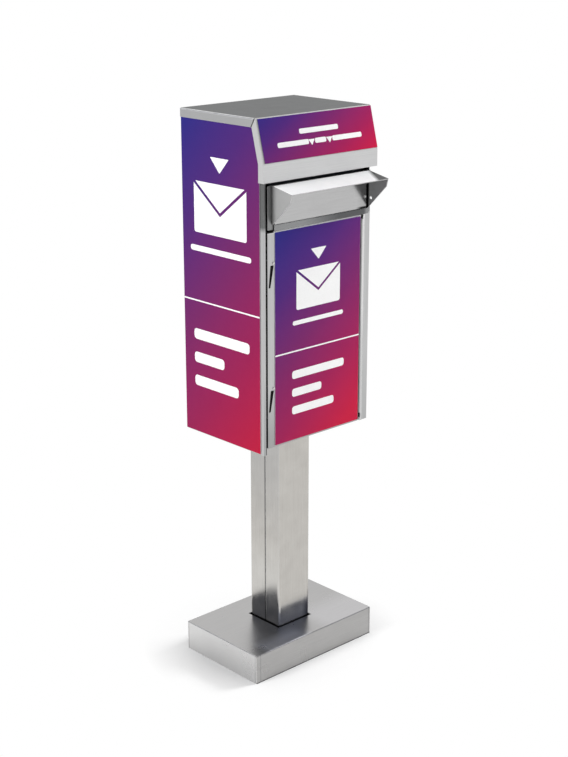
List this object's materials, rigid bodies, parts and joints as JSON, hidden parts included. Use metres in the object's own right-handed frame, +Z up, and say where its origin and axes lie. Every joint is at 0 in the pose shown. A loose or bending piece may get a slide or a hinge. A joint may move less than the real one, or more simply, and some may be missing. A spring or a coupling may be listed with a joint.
{
  "type": "pedestal drop box",
  "caption": "Stainless drop box on a square post and weighted base, with a hooded deposit slot, an inner flap, printed panels and a front door that a cam lock closes.",
  "frame": {"origin": "middle of the ballast plate's underside, on the floor, on the post's centre line", "axes": "+Z up, front door and slot towards -Y, door hinges towards -X"},
  "size_m": [0.385, 0.3338, 1.321],
  "materials": {
    "brushed_stainless": "brushed 304 stainless sheet",
    "polished_stainless": "bright polished stainless",
    "zinc_plated_steel": "zinc plated",
    "black_oxide_steel": "black oxide",
    "painted_ballast": "dark primer",
    "black_rubber": "matt black rubber",
    "printed_panel": "printed sheet with a clear film over it, blue to purple to red"
  },
  "bodies": {
    "cabinet": {"base_cover": "brushed_stainless", "ballast_plate": "painted_ballast", "foot_flange": "zinc_plated_steel", "foot_bolt_1": "zinc_plated_steel", "foot_bolt_2": "zinc_plated_steel", "foot_bolt_3": "zinc_plated_steel", "foot_bolt_4": "zinc_plated_steel", "post_front_channel": "brushed_stainless", "post_rear_channel": "brushed_stainless", "top_flange": "zinc_plated_steel", "cabinet_bolt_1": "zinc_plated_steel", "cabinet_bolt_2": "zinc_plated_steel", "cabinet_bolt_3": "zinc_plated_steel", "cabinet_bolt_4": "zinc_plated_steel", "left_side_panel": "brushed_stainless", "right_side_panel": "brushed_stainless", "back_panel": "brushed_stainless", "cabinet_floor": "brushed_stainless", "roof_cap": "brushed_stainless", "fascia": "brushed_stainless", "hinge_jamb": "brushed_stainless", "closing_stile": "brushed_stainless", "upper_bumper": "black_rubber", "lower_bumper": "black_rubber", "closing_strip": "polished_stainless", "top_rail": "brushed_stainless", "door_seal": "black_rubber", "deposit_tray": "polished_stainless", "hood_frame": "brushed_stainless", "hood_panel": "polished_stainless", "drip_rail": "polished_stainless", "slot_head_rail": "brushed_stainless", "flap_bracket_left": "zinc_plated_steel", "flap_bracket_right": "zinc_plated_steel", "flap_rod": "polished_stainless", "security_baffle": "brushed_stainless", "hinge_jamb_leaf_upper": "black_oxide_steel", "hinge_jamb_leaf_lower": "black_oxide_steel", "hinge_pin_upper": "polished_stainless", "hinge_pin_lower": "polished_stainless", "lock_housing": "polished_stainless", "lock_nut": "zinc_plated_steel", "left_printed_panel": "printed_panel", "right_printed_panel": "printed_panel", "header_printed_panel": "printed_panel"},
    "door": {"door_panel": "brushed_stainless", "door_stiffener": "brushed_stainless", "door_catch": "zinc_plated_steel", "hinge_door_leaf_upper": "black_oxide_steel", "hinge_door_leaf_lower": "black_oxide_steel", "hinge_rivet_upper": "polished_stainless", "hinge_rivet_lower": "polished_stainless", "door_printed_panel": "printed_panel"},
    "flap": {"slot_flap": "brushed_stainless"},
    "lock": {"lock_plug": "polished_stainless", "lock_cam": "zinc_plated_steel", "cam_screw": "zinc_plated_steel"}
  },
  "joints": [
    {"name": "door_hinge", "type": "hinge", "parent": "cabinet", "child": "door", "pos_m": [-0.1544, -0.1271, 0.83125], "axis": [0, 0, -1], "range_deg": [0, 95]},
    {"name": "flap_hinge", "type": "hinge", "parent": "cabinet", "child": "flap", "pos_m": [0, -0.11725, 1.2032], "axis": [1, 0, 0], "range_deg": [0, 70]},
    {"name": "lock_turn", "type": "hinge", "parent": "cabinet", "child": "lock", "pos_m": [0.14, -0.095, 0.83125], "axis": [-1, 0, 0], "range_deg": [0, 90]}
  ]
}
